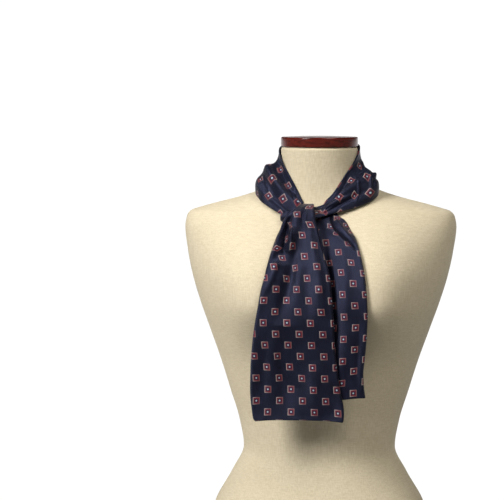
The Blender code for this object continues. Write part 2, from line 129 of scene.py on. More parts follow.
# Neck cap: its rounded edges, and the low crown on top
CAP_GAP = 0.0003
CAP_THICKNESS = 0.0150
CAP_OVERHANG = 0.0006
CAP_ROUND_LOW = 0.0011
CAP_ROUND_HIGH = 0.0022
CAP_ROUND_STEPS = 8
CAP_CROWN = 0.0012
CAP_CROWN_STEPS = 20
CAP_CROWN_WIDTH = 0.0500
CAP_SIDES = 160

# How points are moved clear of the form, and how far from the neck's axis its surface is looked for
CLEAR_ROUNDS = 8
CLEAR_STEP = 0.004
CARRY_ROUNDS = 4
CARRY_WIDTH = 0.012
CARRY_SLOPE = 0.4
LEVEL_STEP = 1e-5
SEARCH_NEAR = 0.01
SEARCH_FAR = 0.30
SEARCH_ROUNDS = 30

FormSection = namedtuple("FormSection", "height middle half_width front back squareness")
FORM_SECTIONS = (
    FormSection(0.000, 0.004, 0.166, 0.104, 0.112, 2.30),
    FormSection(0.050, 0.006, 0.171, 0.106, 0.120, 2.30),
    FormSection(0.100, 0.005, 0.167, 0.104, 0.120, 2.30),
    FormSection(0.153, 0.003, 0.1536, 0.098, 0.108, 2.25),
    FormSection(0.200, 0.000, 0.1280, 0.089, 0.088, 2.20),
    FormSection(0.238, -0.002, 0.1109, 0.084, 0.074, 2.15),
    FormSection(0.277, -0.004, 0.1170, 0.085, 0.072, 2.15),
    FormSection(0.320, -0.004, 0.1300, 0.090, 0.075, 2.20),
    FormSection(0.365, -0.003, 0.1440, 0.096, 0.081, 2.25),
    FormSection(0.410, -0.001, 0.1600, 0.101, 0.088, 2.35),
    FormSection(0.455, 0.001, 0.1760, 0.104, 0.094, 2.40),
    FormSection(0.490, 0.003, 0.1865, 0.103, 0.097, 2.40),
    FormSection(0.525, 0.005, 0.1938, 0.097, 0.097, 2.35),
    FormSection(0.560, 0.007, 0.1982, 0.081, 0.090, 2.30),
    FormSection(0.575, 0.007, 0.1955, 0.072, 0.083, 2.20),
    FormSection(0.582, 0.006, 0.1900, 0.0685, 0.078, 2.10),
    FormSection(0.5875, 0.005, 0.1741, 0.0665, 0.0735, 1.95),
    FormSection(0.5955, 0.004, 0.1451, 0.0645, 0.0675, 1.80),
    FormSection(0.6030, 0.002, 0.1162, 0.0635, 0.0620, 1.75),
    FormSection(0.6130, -0.003, 0.0872, 0.0632, 0.0555, 1.80),
    FormSection(0.6220, -0.007, 0.0700, 0.0635, 0.0510, 1.90),
    FormSection(0.6330, -0.011, 0.0600, 0.0642, 0.0475, 2.00),
    FormSection(0.6500, -0.013, 0.0562, 0.0660, 0.0440, 2.00),
    FormSection(0.6760, -0.014, 0.0552, 0.0690, 0.0410, 2.00),
)
NECK_TOP = FORM_SECTIONS[-1].height

# The stretch round the neck. turn is in degrees from the front, by the viewer's left to the back and on.
NECK_AXIS_Y = -0.012
NeckSection = namedtuple("NeckSection", "turn rim edge out swell lift stand")
NECK_SECTIONS = (
    NeckSection(19, 0.598, 0.5745, 0.0060, 0.001, 0.008, 0.40),
    NeckSection(27, 0.611, 0.5750, 0.0070, 0.002, 0.012, 0.42),
    NeckSection(34, 0.623, 0.5780, 0.0070, 0.004, 0.018, 0.45),
    NeckSection(46, 0.639, 0.5865, 0.0060, 0.006, 0.026, 0.48),
    NeckSection(60, 0.654, 0.5965, 0.0055, 0.006, 0.034, 0.50),
    NeckSection(72, 0.665, 0.6050, 0.0060, 0.008, 0.042, 0.52),
    NeckSection(82, 0.671, 0.6100, 0.0040, 0.009, 0.040, 0.60),
    NeckSection(93, 0.675, 0.6155, 0.0030, 0.002, 0.022, 0.72),
    NeckSection(115, 0.678, 0.6120, 0.0050, -0.002, 0.014, 0.72),
    NeckSection(150, 0.680, 0.6040, 0.0050, -0.003, 0.016, 0.62),
    NeckSection(180, 0.681, 0.6010, 0.0050, -0.003, 0.018, 0.58),
    NeckSection(212, 0.681, 0.6040, 0.0050, -0.003, 0.016, 0.62),
    NeckSection(245, 0.680, 0.6130, 0.0050, -0.002, 0.014, 0.72),
    NeckSection(268, 0.677, 0.6165, 0.0025, 0.001, 0.022, 0.72),
    NeckSection(278, 0.672, 0.6120, 0.0030, 0.006, 0.037, 0.70),
    NeckSection(288, 0.665, 0.6058, 0.0040, 0.008, 0.040, 0.66),
    NeckSection(300, 0.654, 0.5985, 0.0050, 0.007, 0.033, 0.56),
    NeckSection(316, 0.638, 0.5905, 0.0060, 0.006, 0.024, 0.46),
    NeckSection(328, 0.622, 0.5860, 0.0070, 0.005, 0.018, 0.42),
    NeckSection(338, 0.609, 0.5830, 0.0085, 0.003, 0.012, 0.40),
    NeckSection(346, 0.6015, 0.5805, 0.0105, 0.001, 0.008, 0.40),
    NeckSection(351, 0.5950, 0.5790, 0.0125, 0.000, 0.006, 0.38),
    NeckSection(360, 0.5920, 0.5765, 0.0140, 0.002, 0.006, 0.34),
    NeckSection(374, 0.5905, 0.5755, 0.0125, 0.002, 0.006, 0.34),
)
NECK_STATIONS = 420
NECK_ACROSS = 84
NECK_WIDTH = 0.06

# Soft folds along a stretch: where each starts and ends along it, its place across from 0 to 1 at both, its
# half width across, its height, above nought where it stands out, and how far its middle bows across.
Fold = namedtuple("Fold", "start end across_start across_end half_width height bow", defaults=(0.0,))
NECK_FOLDS = (
    Fold(10, 86, 0.40, 0.46, 0.10, -0.0040),
    Fold(12, 70, 0.66, 0.74, 0.09, 0.0030),
    Fold(105, 215, 0.36, 0.58, 0.11, -0.0035),
    Fold(165, 262, 0.72, 0.46, 0.11, 0.0030),
    Fold(274, 352, 0.46, 0.42, 0.11, -0.0056),
    Fold(290, 350, 0.74, 0.68, 0.09, 0.0040),
    Fold(38, 94, 0.50, 0.38, 0.11, -0.0066),
    Fold(24, 78, 0.26, 0.14, 0.080, 0.0038),
    Fold(48, 64, 0.78, 0.60, 0.045, -0.0018),
    Fold(20, 34, 0.46, 0.22, 0.065, -0.0058),
    Fold(30, 66, 0.88, 0.90, 0.060, 0.0016),
    Fold(64, 104, 0.60, 0.74, 0.110, 0.0016),
    Fold(246, 296, 0.76, 0.58, 0.050, -0.0044),
    Fold(248, 290, 0.90, 0.70, 0.050, 0.0020),
    Fold(58, 82, 0.60, 0.72, 0.050, 0.0014),
    Fold(84, 150, 0.22, 0.16, 0.070, -0.0014),
    Fold(120, 200, 0.80, 0.88, 0.060, -0.0016),
    Fold(128, 230, 0.24, 0.30, 0.070, 0.0014),
    Fold(205, 268, 0.86, 0.66, 0.060, -0.0016),
    Fold(236, 292, 0.30, 0.22, 0.060, -0.0014),
    Fold(316, 354, 0.64, 0.50, 0.050, -0.0032),
    Fold(312, 348, 0.18, 0.42, 0.080, 0.0032),
    Fold(334, 362, 0.58, 0.80, 0.050, -0.0022),
    Fold(266, 288, 0.46, 0.88, 0.055, 0.0016),
    Fold(284, 302, 0.34, 0.88, 0.050, -0.0026),
    Fold(302, 316, 0.26, 0.92, 0.050, -0.0026),
)

# A hanging end, from the knot down. tilt is how far its right side lies forward of its left one,
# under_left and under_right are how much cloth rolls under there, and slant is how it slopes to the right.
TailSection = namedtuple("TailSection", "height forward left right tilt under_left under_right slant")
FRONT_TAIL = (
    TailSection(0.5934, -0.0688, -0.0178, -0.0042, 0.000, 0.002, 0.002, 0.0),
    TailSection(0.5951, -0.0715, -0.0182, -0.0040, 0.000, 0.002, 0.002, 0.0),
    TailSection(0.5959, -0.0760, -0.0192, -0.0036, 0.000, 0.002, 0.002, 0.0),
    TailSection(0.5955, -0.0815, -0.0212, -0.0031, 0.000, 0.002, 0.002, 0.0),
    TailSection(0.5937, -0.0880, -0.0255, -0.0025, 0.000, 0.003, 0.003, 0.0),
    TailSection(0.5900, -0.0945, -0.0315, -0.0018, 0.000, 0.006, 0.005, 0.0),
    TailSection(0.5845, -0.0995, -0.0380, -0.0008, 0.000, 0.010, 0.009, 0.0),
    TailSection(0.5780, -0.1030, -0.0428, 0.0003, 0.000, 0.014, 0.012, 0.0),
    TailSection(0.5665, -0.1060, -0.0482, 0.0034, 0.000, 0.019, 0.017, 0.0),
    TailSection(0.5540, -0.1110, -0.0542, 0.0061, 0.000, 0.023, 0.020, 0.0),
    TailSection(0.5390, -0.1170, -0.0588, 0.0104, 0.000, 0.026, 0.022, 0.0),
    TailSection(0.5240, -0.1230, -0.0626, 0.0151, 0.000, 0.026, 0.022, 0.0),
    TailSection(0.5100, -0.1280, -0.0656, 0.0197, 0.000, 0.024, 0.021, 0.0),
    TailSection(0.4936, -0.1325, -0.0691, 0.0236, 0.000, 0.021, 0.019, 0.0),
    TailSection(0.4785, -0.1355, -0.0729, 0.0253, 0.000, 0.019, 0.017, 0.0),
    TailSection(0.4550, -0.1375, -0.0770, 0.0273, 0.000, 0.016, 0.015, 0.0),
    TailSection(0.4310, -0.1380, -0.0813, 0.0288, 0.000, 0.013, 0.012, 0.0),
    TailSection(0.4000, -0.1372, -0.0851, 0.0300, 0.000, 0.010, 0.010, 0.0),
    TailSection(0.3690, -0.1354, -0.0874, 0.0333, 0.000, 0.007, 0.008, 0.0),
    TailSection(0.3376, -0.1344, -0.0880, 0.0379, 0.000, 0.004, 0.006, 0.0),
    TailSection(0.3080, -0.1358, -0.0851, 0.0436, 0.000, 0.003, 0.004, 0.0),
    TailSection(0.2990, -0.1368, -0.0834, 0.0433, 0.000, 0.003, 0.003, 0.0),
    TailSection(0.2952, -0.1374, -0.0800, 0.0415, 0.000, 0.003, 0.003, 0.0),
)
FRONT_FOLDS = (
    Fold(0.582, 0.528, 0.14, 0.27, 0.11, -0.0080),
    Fold(0.596, 0.515, 0.38, 0.45, 0.13, 0.0035),
    Fold(0.550, 0.430, 0.31, 0.40, 0.14, -0.0050),
    Fold(0.585, 0.400, 0.82, 0.86, 0.12, 0.0030),
    Fold(0.460, 0.295, 0.20, 0.16, 0.14, 0.0025),
    Fold(0.430, 0.295, 0.48, 0.44, 0.13, -0.0025),
    Fold(0.400, 0.295, 0.74, 0.76, 0.14, 0.0025),
    Fold(0.580, 0.526, 0.00, 0.26, 0.130, -0.0050),
    Fold(0.570, 0.514, 0.05, 0.17, 0.160, -0.0115),
    Fold(0.578, 0.530, 0.02, 0.25, 0.045, -0.0050),
    Fold(0.587, 0.526, 0.18, 0.40, 0.055, 0.0046, 0.03),
    Fold(0.556, 0.430, 0.50, 0.27, 0.090, -0.0050),
    Fold(0.535, 0.468, 0.16, 0.03, 0.060, 0.0030),
    Fold(0.574, 0.440, 0.86, 0.89, 0.080, 0.0026),
    Fold(0.432, 0.300, 0.16, 0.10, 0.070, -0.0030),
    Fold(0.428, 0.308, 0.02, 0.00, 0.045, 0.0014),
    Fold(0.428, 0.303, 0.34, 0.37, 0.070, -0.0030),
    Fold(0.380, 0.292, 0.76, 0.70, 0.080, 0.0032),
    Fold(0.350, 0.296, 0.98, 0.90, 0.055, -0.0016),
    Fold(0.594, 0.562, 0.55, 0.63, 0.050, -0.0018),
    Fold(0.592, 0.556, 0.76, 0.70, 0.050, 0.0015),
    Fold(0.510, 0.440, 0.62, 0.70, 0.080, -0.0024),
    Fold(0.340, 0.286, 0.52, 0.50, 0.090, 0.0024),
)
REAR_TAIL = (
    TailSection(0.5860, -0.0712, 0.0125, 0.0280, 0.000, 0.002, 0.002, 0.0),
    TailSection(0.5800, -0.0745, 0.0115, 0.0310, 0.000, 0.002, 0.002, 0.0),
    TailSection(0.5730, -0.0795, -0.0010, 0.0415, 0.000, 0.002, 0.003, 0.0),
    TailSection(0.5610, -0.0870, -0.0120, 0.0493, 0.000, 0.002, 0.005, 0.0),
    TailSection(0.5500, -0.0930, -0.0180, 0.0566, 0.002, 0.002, 0.007, 0.0),
    TailSection(0.5363, -0.0995, -0.0220, 0.0626, 0.005, 0.002, 0.008, 0.0),
    TailSection(0.5200, -0.1060, -0.0250, 0.0672, 0.009, 0.002, 0.009, 0.0),
    TailSection(0.5063, -0.1105, -0.0270, 0.0703, 0.013, 0.002, 0.009, 0.01),
    TailSection(0.4857, -0.1150, -0.0290, 0.0734, 0.017, 0.002, 0.009, 0.02),
    TailSection(0.4652, -0.1175, -0.0310, 0.0752, 0.019, 0.002, 0.008, 0.03),
    TailSection(0.4440, -0.1190, -0.0320, 0.0760, 0.018, 0.002, 0.008, 0.05),
    TailSection(0.4230, -0.1195, -0.0350, 0.0754, 0.017, 0.002, 0.008, 0.07),
    TailSection(0.4020, -0.1200, -0.0380, 0.0741, 0.015, 0.002, 0.008, 0.09),
    TailSection(0.3810, -0.1200, -0.0410, 0.0721, 0.013, 0.002, 0.008, 0.12),
    TailSection(0.3600, -0.1200, -0.0430, 0.0701, 0.011, 0.002, 0.008, 0.14),
    TailSection(0.3390, -0.1200, -0.0450, 0.0716, 0.010, 0.002, 0.006, 0.16),
    TailSection(0.3290, -0.1200, -0.0460, 0.0731, 0.009, 0.002, 0.004, 0.17),
)
REAR_FOLDS = (
    Fold(0.582, 0.535, 0.50, 0.86, 0.12, -0.0040),
    Fold(0.570, 0.400, 0.38, 0.52, 0.13, -0.0050),
    Fold(0.560, 0.400, 0.74, 0.76, 0.12, 0.0025),
    Fold(0.450, 0.330, 0.58, 0.60, 0.12, -0.0030),
    Fold(0.440, 0.330, 0.80, 0.78, 0.12, 0.0025),
    Fold(0.580, 0.530, 0.44, 1.00, 0.036, -0.0080, 0.07),
    Fold(0.582, 0.538, 0.64, 1.02, 0.075, 0.0042, 0.07),
    Fold(0.548, 0.436, 0.75, 0.77, 0.070, 0.0020),
    Fold(0.444, 0.331, 0.92, 0.96, 0.035, -0.0020),
    Fold(0.400, 0.330, 0.83, 0.80, 0.060, -0.0016),
    Fold(0.552, 0.410, 0.46, 0.60, 0.060, -0.0022),
)
FRONT_STATIONS = 230
FRONT_ACROSS = 110
REAR_STATIONS = 210
REAR_ACROSS = 90
ROLL_ACROSS = 22
CARRY_BLUR = 3
# How far a hem's corners hang below its middle, and how far up the tail that reaches
HEM_DIP = 0.0024
HEM_REACH = 0.030

# The crossing band at the throat, from the viewer's left to right
BandSection = namedtuple("BandSection", "across forward low high")
KNOT_SECTIONS = (
    BandSection(-0.0505, -0.0836, 0.5735, 0.5805),
    BandSection(-0.0460, -0.0868, 0.5700, 0.5840),
    BandSection(-0.0360, -0.0900, 0.5680, 0.5865),
    BandSection(-0.0220, -0.0908, 0.5685, 0.5875),
    BandSection(-0.0150, -0.0905, 0.5695, 0.5870),
)
KNOT_STATIONS = 90
KNOT_ACROSS = 44
KNOT_WIDTH = 0.018
KNOT_CROWN = 0.0050

# Where the pattern lies: for each end, the place of one lengthwise thread at a few heights, and the height
# of one figure on it. Round the neck, the turn and place across of one figure on each side.
FRONT_THREAD = (
    (0.307, 0.0028), (0.372, -0.0001), (0.435, -0.0031), (0.496, -0.0082), (0.554, -0.0170), (0.582, -0.0253),
)
FRONT_FIGURE = 0.307
REAR_THREAD = ((0.347, 0.0402), (0.409, 0.0428), (0.440, 0.0440), (0.500, 0.0392), (0.554, 0.0298))
REAR_FIGURE = 0.4735
NECK_FIGURES = ((42.4, 0.23), (330.3, 0.47))

# The studio: the world's strength round the object and behind it, from where to where it turns from one to
# the other, and how it darkens overhead. The floor out there is blended into it over these distances.
WORLD_DIM = 0.27
WORLD_WARM = (1.0, 0.97, 0.92, 1.0)
WORLD_BRIGHT = 1.04
WORLD_TURN = (0.70, 0.94)
WORLD_OVERHEAD = (0.05, 0.15, 1.0, 0.04)
FLOOR_TURN = (0.15, 0.70)
FLOOR_BLEND_BEHIND = (0.32, 0.70)
FLOOR_BLEND_ROUND = (0.60, 1.80)
FLOOR_HALF = 60.0
FLOOR_GAP = 0.0005
LIGHT_TARGET = (0.0, -0.05, 0.42)
LIGHT_SPREAD = math.radians(50)
Light = namedtuple("Light", "name place width height power colour")
LIGHTS = (
    Light("key", (-1.50, -1.62, 2.05), 0.9, 1.5, 9.0, (1.0, 0.975, 0.95)),
    Light("top", (1.05, -1.25, 2.45), 1.1, 1.1, 3.1, (1.0, 0.95, 0.87)),
)


def columns(rows):
    """A table's first column, the others, and the slopes of a smooth curve that never overshoots a row."""
    table = np.array(rows, dtype=float)
    at, values = table[:, 0], table[:, 1:]
    steps = np.diff(at)[:, None]
    secants = np.diff(values, axis=0) / steps
    slopes = np.zeros_like(values)
    slopes[0], slopes[-1] = secants[0], secants[-1]
    product = secants[:-1] * secants[1:]
    total = secants[:-1] + secants[1:]
    slopes[1:-1] = np.where(product > 0, 2 * product / np.where(total == 0, 1, total), 0)
    return at, values, slopes


def read(table, places):
    """Every column of a table at these places along its first column."""
    at, values, slopes = table
    places = np.clip(places, at[0], at[-1])
    row = np.clip(np.searchsorted(at, places, side="right") - 1, 0, len(at) - 2)
    step = (at[row + 1] - at[row])[..., None]
    t = (places - at[row])[..., None] / step
    return (
        values[row] * (1 + 2 * t) * (1 - t) ** 2
        + slopes[row] * step * t * (1 - t) ** 2
        + values[row + 1] * t**2 * (3 - 2 * t)
        + slopes[row + 1] * step * t**2 * (t - 1)
    )


FORM_TABLE = columns(FORM_SECTIONS)


def bust(across, height, half_width):
    """How far the bust stands forward of the plain torso."""
    side = (np.abs(across) - BUST_SPREAD) / BUST_HALF_WIDTH
    above = height - BUST_HEIGHT
    rise = above / np.where(above > 0, BUST_RISE, BUST_DROP)
    edge = np.clip(1 - (np.abs(across) / half_width) ** 4, 0, 1)
    return BUST_DEPTH * np.exp(-(side**2 + rise**2) / 2) * edge


def form_level(points):
    """Below nought inside the form, nought on its surface and above nought outside."""
    middle, half_width, front, back, squareness = np.moveaxis(read(FORM_TABLE, points[..., 2]), -1, 0)
    behind = points[..., 1] - middle
    behind = behind + bust(points[..., 0], points[..., 2], half_width) * (behind < 0)
    depth = np.where(behind < 0, front + middle, back - middle)
    side = np.abs(points[..., 0]) / half_width
    return (side**squareness + (np.abs(behind) / depth) ** squareness) ** (1 / squareness) - 1


def form_gap(points):
    """The distance from each point to the form, and the way out."""
    level = form_level(points)
    steps = [form_level(points + LEVEL_STEP * axis) - level for axis in np.eye(3)]
    gradient = np.stack(steps, axis=-1) / LEVEL_STEP
    length = np.linalg.norm(gradient, axis=-1)
    return level / length, gradient / length[..., None]


def keep_clear(points, distance):
    """Moves points that lie nearer to the form than this distance straight out to it."""
    for _ in range(CLEAR_ROUNDS):
        gap, way_out = form_gap(points)
        points = points + way_out * np.clip(distance - gap, 0, CLEAR_STEP)[..., None]
    return points


def smoothed(grid, rounds):
    """A grid of numbers averaged with its neighbours along its first axis."""
    for _ in range(rounds):
        inner = (grid[:-2] + 2 * grid[1:-1] + grid[2:]) / 4
        grid = np.concatenate([grid[:1], inner, grid[-1:]])
    return grid


def carry_forward(grid, distance):
    """Moves the sections of a hanging end forward where any layer lies nearer to the form than this."""
    across = grid[:, :, 0]
    near = np.exp(-(((across[:, :, None] - across[:, None, :]) / CARRY_WIDTH) ** 2))
    for _ in range(CARRY_ROUNDS):
        gap, way_out = form_gap(grid)
        short = np.clip(distance - gap, 0, None) / np.clip(-way_out[..., 1], CARRY_SLOPE, 1)
        carried = np.max(near * short[:, None, :], axis=2)
        grid = grid - smoothed(carried, CARRY_BLUR)[..., None] * np.array((0, 1, 0))
    return grid


def form_radius(turn, height):
    """How far the form reaches from the neck's axis in a direction, at a height."""
    near, far = np.full(turn.shape, SEARCH_NEAR), np.full(turn.shape, SEARCH_FAR)
    for _ in range(SEARCH_ROUNDS):
        middle = (near + far) / 2
        inside = form_level(round_neck(turn, middle, height)) < 0
        near, far = np.where(inside, middle, near), np.where(inside, far, middle)
    return near


def round_neck(turn, radius, height):
    """A point at a direction and distance from the neck's axis."""
    return np.stack([-radius * np.sin(turn), NECK_AXIS_Y - radius * np.cos(turn), height], axis=-1)


def fold_height(folds, along, across):
    """The height of all soft folds together at places along and across a stretch."""
    total = np.zeros(np.broadcast(along, across).shape)
    for fold in folds:
        t = np.clip((along - fold.start) / (fold.end - fold.start), 0, 1)
        middle = fold.across_start + (fold.across_end - fold.across_start) * t + fold.bow * 4 * t * (1 - t)
        fade = np.sin(math.pi * t) ** FOLD_FADE
        total = total + fold.height * fade * np.exp(-(((across - middle) / fold.half_width) ** 2))
    return total


def surface_normals(grid):
    """The unit normal at each point of a grid of points."""
    along = np.gradient(grid, axis=0)
    across = np.gradient(grid, axis=1)
    return unit(np.cross(along, across))


def unit(directions):
    """Directions made one long."""
    return directions / np.linalg.norm(directions, axis=-1)[..., None]


def walked(grid, axis):
    """The distance walked over a grid of points along one axis, from its start."""
    steps = np.linalg.norm(np.diff(grid, axis=axis), axis=-1)
    start = np.zeros_like(np.take(steps, [0], axis=axis))
    return np.cumsum(np.concatenate([start, steps], axis=axis), axis=axis)


def spread(count, length, round_start, round_end):
    """Places from 0 to 1, even but for a few close together at an end that shows its rounded edge."""
    steps = np.array(EDGE_STEPS) * EDGE_ROUND / length
    low = steps if round_start else steps[:1]
    high = 1 - (steps[::-1] if round_end else steps[:1])
    inner = np.linspace(low[-1], high[0], count)[1:-1]
    return np.concatenate([low, inner, high])


def neck_cloth():
    """The middle of the stretch round the neck, and the pattern's threads on it."""
    table = columns(NECK_SECTIONS)
    turn = np.linspace(NECK_SECTIONS[0].turn, NECK_SECTIONS[-1].turn, NECK_STATIONS)[:, None]
    v = spread(NECK_ACROSS, NECK_WIDTH, True, True)[None, :]
    rim, edge, out, swell, lift, stand = np.moveaxis(read(table, turn), -1, 0)
    angle = np.radians(turn)
    rim_radius = form_radius(angle, np.minimum(rim, NECK_TOP)) + CAP_OVERHANG + SEAT + SOLID_WALL / 2
    edge_radius = form_radius(angle, edge) + out
    bend = 3 * v * (1 - v)
    drop = stand * (rim - edge)
    radius = (
        rim_radius * ((1 - v) ** 3 + bend * (1 - v))
        + (edge_radius + swell) * bend * v
        + edge_radius * v**3
    )
    height = rim * (1 - v) ** 3 + (rim - drop) * bend * (1 - v) + (edge + lift) * bend * v + edge * v**3
    grid = round_neck(angle + 0 * v, radius, height)
    threads = neck_threads(grid)
    grid = grid + surface_normals(grid) * -fold_height(NECK_FOLDS, turn, v)[..., None]
    grid = keep_clear(grid, SEAT + SOLID_WALL / 2)
    anchors = []
    for figure_turn, figure_across in NECK_FIGURES:
        i = int(np.argmin(np.abs(turn[:, 0] - figure_turn)))
        j = int(np.argmin(np.abs(v[0] - figure_across)))
        anchors.append(threads[i, j])
    share = np.clip((turn - NECK_FIGURES[0][0]) / (NECK_FIGURES[1][0] - NECK_FIGURES[0][0]), 0, 1)
    repeat = np.array((REPEAT_ACROSS, REPEAT_ALONG))
    whole = np.round((anchors[1] - anchors[0]) / repeat) * repeat
    slip = anchors[0] * (1 - share[..., None]) + (anchors[1] - whole) * share[..., None]
    return grid, threads - slip


def neck_threads(grid):
    """How far each point of the stretch round the neck lies across and along its threads."""
    lengthwise = unit(np.gradient(grid, axis=0))
    heading = unit(lengthwise * (1 - RIM_HOLD) + lengthwise[:, :1] * RIM_HOLD)
    heading = (heading[:, 1:] + heading[:, :-1]) / 2
    step = np.diff(grid, axis=1)
    run = np.sum(step * heading, axis=-1)
    side = np.linalg.norm(step - run[..., None] * heading, axis=-1)
    zero = np.zeros((len(grid), 1))
    run = np.cumsum(np.concatenate([zero, run], axis=1), axis=1)
    side = np.cumsum(np.concatenate([zero, side], axis=1), axis=1)
    return np.stack([side, walked(grid, 0)[:, :1] + run], axis=-1)


def tail_cloth(rows, folds, stations, across, thread, figure):
    """The middle of a hanging end, a row of points for each section, and the pattern's threads on it."""
    path = np.array([(row.height, row.forward) for row in rows])
    reached = np.concatenate([[0], np.cumsum(np.linalg.norm(np.diff(path, axis=0), axis=1))])
    table = columns([(at, *row) for at, row in zip(reached, rows)])
    along = spread(stations, reached[-1], False, True) * reached[-1]
    section = read(table, along)
    height, forward, left, right, tilt, under_left, under_right, slant = np.moveaxis(section, -1, 0)
    heading = np.gradient(np.stack([forward, height], axis=-1), along, axis=0)
    heading /= np.linalg.norm(heading, axis=-1)[:, None]
    roll = np.linspace(1, 0, ROLL_ACROSS, endpoint=False)
    v = np.linspace(0, 1, across)
    dip = HEM_DIP * np.exp(-(((reached[-1] - along) / HEM_REACH) ** 2))
    lines = []
    for i in range(len(along)):
        left_turn = min(under_left[i] / ROLL_RADIUS, math.pi)
        right_turn = min(under_right[i] / ROLL_RADIUS, math.pi)
        start = left[i] + ROLL_RADIUS * math.sin(min(left_turn, math.pi / 2))
        end = right[i] - ROLL_RADIUS * math.sin(min(right_turn, math.pi / 2))
        x = start + (end - start) * v
        depth = -fold_height(folds, height[i], v)
        left_x, left_depth = turned_under(roll, under_left[i], left_turn)
        right_x, right_depth = turned_under(roll[::-1], under_right[i], right_turn)
        left_x, right_x = start - left_x, end + right_x
        left_depth = left_depth + np.interp(left_x, x, depth)
        right_depth = right_depth + np.interp(right_x, x, depth)
        x = np.concatenate([left_x, x, right_x])
        depth = np.concatenate([left_depth, depth, right_depth])
        lean = tilt[i] * (x - left[i]) / (right[i] - left[i])
        y = forward[i] - lean - heading[i][1] * depth
        corner = np.clip(np.abs(2 * (x - left[i]) / (right[i] - left[i]) - 1), 0, 1) ** 4
        z = height[i] + slant[i] * (x - right[i]) + heading[i][0] * depth - dip[i] * corner
        lines.append(np.stack([x, y, z], axis=-1))
    grid = carry_forward(np.array(lines), SEAT + CLOTH_THICKNESS / 2)
    return grid, tail_threads(grid, height, thread, figure, across)


def turned_under(parts, length, turn):
    """Points of an edge that rolls round and runs back in behind, from its start outward."""
    run = np.asarray(parts) * length
    angle = np.minimum(run / ROLL_RADIUS, turn)
    flat = run - angle * ROLL_RADIUS
    return ROLL_RADIUS * np.sin(angle) - flat, ROLL_RADIUS * (1 - np.cos(angle))


def tail_threads(grid, height, thread, figure, across):
    """How far each point of a hanging end lies from one figure, across and along the threads."""
    knots = np.array(thread)
    thread_x = np.interp(height, knots[:, 0], knots[:, 1])
    run = walked(grid, 1)
    front = slice(ROLL_ACROSS, ROLL_ACROSS + across)
    rows = range(len(height))
    zero = np.array([np.interp(thread_x[i], grid[i, front, 0], run[i, front]) for i in rows])
    line = np.array([[np.interp(zero[i], run[i], grid[i, :, k]) for k in range(3)] for i in rows])
    fallen = np.concatenate([[0], np.cumsum(np.linalg.norm(np.diff(line, axis=0), axis=1))])
    down = fallen - np.interp(-figure, -height, fallen)
    return np.stack([run - zero[:, None], np.repeat(-down[:, None], run.shape[1], axis=1)], axis=-1)


def knot_cloth():
    """The middle of the crossing band, and the pattern's threads on it."""
    table = columns(KNOT_SECTIONS)
    x = np.linspace(KNOT_SECTIONS[0].across, KNOT_SECTIONS[-1].across, KNOT_STATIONS)[:, None]
    v = spread(KNOT_ACROSS, KNOT_WIDTH, True, True)[None, :]
    forward, low, high = np.moveaxis(read(table, x), -1, 0)
    z = high + (low - high) * v
    y = forward + KNOT_CROWN * (2 * v - 1) ** 2
    grid = np.stack([x + 0 * z, y, z], axis=-1)
    grid = keep_clear(grid, SEAT + SOLID_WALL / 2)
    across = walked(grid, 1)
    along = walked(grid, 0)[:, :1] + 0 * across
    return grid, np.stack([across, along], axis=-1)


def new_object(name, points, quads, corner_places, layer, material):
    """An object from points and four-sided faces, shaded smooth, with a place in a map for each corner."""
    mesh = bpy.data.meshes.new(name)
    mesh.from_pydata(points.tolist(), [], quads.tolist())
    places = mesh.uv_layers.new(name=layer)
    places.data.foreach_set("uv", corner_places.astype(np.float32).ravel())
    mesh.materials.append(material)
    mesh.shade_smooth()
    piece = bpy.data.objects.new(name, mesh)
    bpy.context.scene.collection.objects.link(piece)
    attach(piece, "root")
    return piece


def edge_profile(distance):
    """The share of its thickness that doubled cloth has this far from a rounded edge."""
    inward = 1 - np.clip(distance / EDGE_ROUND, 0, 1)
    swell = np.exp(-(((distance - EDGE_SWELL_PLACE) / EDGE_SWELL_WIDTH) ** 2))
    return np.maximum(np.sqrt(1 - inward**2), EDGE_THINNEST) * (1 + EDGE_SWELL * swell)


def cloth_piece(name, cloth, thickness, rounded, material):
    """A closed shell of cloth round a grid of middle points, with its pattern's threads as a map.

    rounded names the sides with a soft rounded edge: start and end along the grid, rim and edge across it.
    """
    middle, threads = cloth
    along, across = walked(middle, 0), walked(middle, 1)
    distances = {
        "start": along,
        "end": along[-1:] - along,
        "rim": across,
        "edge": across[:, -1:] - across,
    }
    share = edge_profile(np.minimum.reduce([distances[side] for side in rounded]))
    offset = surface_normals(middle) * (thickness / 2 * share)[..., None]
    count, width = middle.shape[:2]
    points = np.concatenate([(middle + offset).reshape(-1, 3), (middle - offset).reshape(-1, 3)])
    back = count * width
    first = (np.arange(count - 1)[:, None] * width + np.arange(width - 1)).ravel()
    front = np.stack([first, first + width, first + width + 1, first + 1], axis=-1)
    loop = list(range(width))
    loop += [i * width + width - 1 for i in range(1, count)]
    loop += [(count - 1) * width + j for j in range(width - 2, -1, -1)]
    loop += [i * width for i in range(count - 2, 0, -1)]
    loop = np.array(loop)
    after = np.roll(loop, -1)
    border = np.stack([loop, after, back + after, back + loop], axis=-1)
    quads = np.concatenate([front, back + front[:, ::-1], border])
    places = np.concatenate([threads.reshape(-1, 2)] * 2)
    piece = new_object(name, points, quads, places[quads], "threads", material)
    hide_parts(name.replace("_silk", ""))
    return piece


def ring(height, middle, half_width, front, back, squareness, sides):
    """One level section of the form as points, starting behind it and going round by +X."""
    angle = math.pi / 2 - 2 * math.pi * np.arange(sides) / sides
    cos, sin = np.cos(angle), np.sin(angle)
    x = half_width * np.sign(cos) * np.abs(cos) ** (2 / squareness)
    depth = np.where(sin > 0, back - middle, front + middle)
    y = middle + depth * np.sign(sin) * np.abs(sin) ** (2 / squareness)
    y = y - bust(x, height, half_width) * (sin < 0)
    return np.stack([x, y, np.full(sides, height)], axis=-1)


